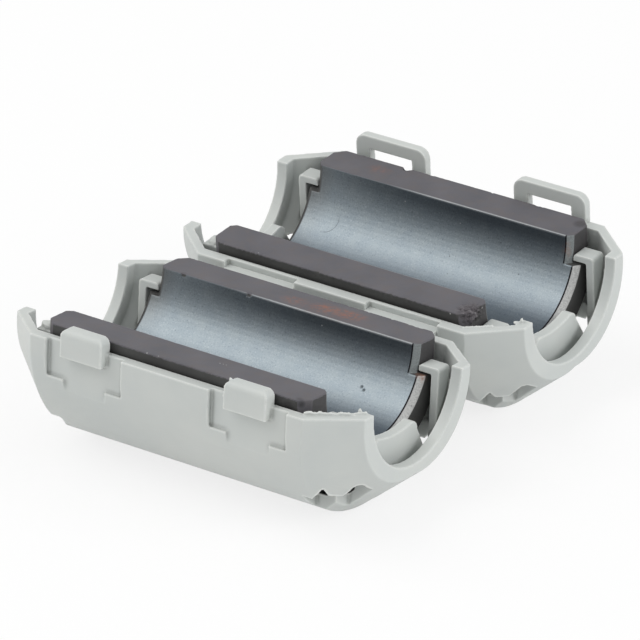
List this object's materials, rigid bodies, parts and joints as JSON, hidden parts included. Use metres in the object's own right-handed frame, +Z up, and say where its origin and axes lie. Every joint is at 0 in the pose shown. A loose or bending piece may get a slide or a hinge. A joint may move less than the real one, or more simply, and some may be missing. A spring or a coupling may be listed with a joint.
{
  "type": "clip-on ferrite bead",
  "caption": "Clip-on ferrite core for a round cable: half-round ferrite cores in a hinged plastic case, open, with hooks along one side and loops that clip over them",
  "frame": {"origin": "on the surface the open case rests on, midway along the cable and under the hinge line", "axes": "+X along the cable bore, +Y across the hinge from the base with the hooks to the lid with the loops, +Z up"},
  "size_m": [0.036, 0.0475, 0.0146],
  "materials": {
    "case_plastic": "moulded light grey nylon with a fine satin surface and slightly rounded edges",
    "ferrite": "sintered dark grey ferrite, ground mating faces, satin bore with fine specks, small chips and traces of rust"
  },
  "bodies": {
    "base": {"case_base": "case_plastic", "hinge_strap_left": "case_plastic", "hinge_strap_right": "case_plastic"},
    "base_core": {"core_base": "ferrite"},
    "lid": {"case_lid": "case_plastic"},
    "lid_core": {"core_lid": "ferrite"}
  },
  "joints": [
    {"name": "lid_hinge", "type": "hinge", "parent": "base", "child": "lid", "pos_m": [0, 0, 0.01035], "axis": [1, 0, 0], "range_deg": [-8.7, 171.3], "deforming": ["hinge_strap_left", "hinge_strap_right"]},
    {"name": "base_core_press", "type": "slide", "parent": "base", "child": "base_core", "axis": [0, 0.0758, 0.9971], "range_m": [-0.00096, 0.00005]},
    {"name": "lid_core_press", "type": "slide", "parent": "lid", "child": "lid_core", "axis": [0, -0.0758, 0.9971], "range_m": [-0.00096, 0.00005]}
  ],
  "couplings": [
    {"joint": "base_core_press", "follows": "lid_hinge", "m_per_rad": -0.00031775},
    {"joint": "lid_core_press", "follows": "lid_hinge", "m_per_rad": -0.00031775}
  ]
}
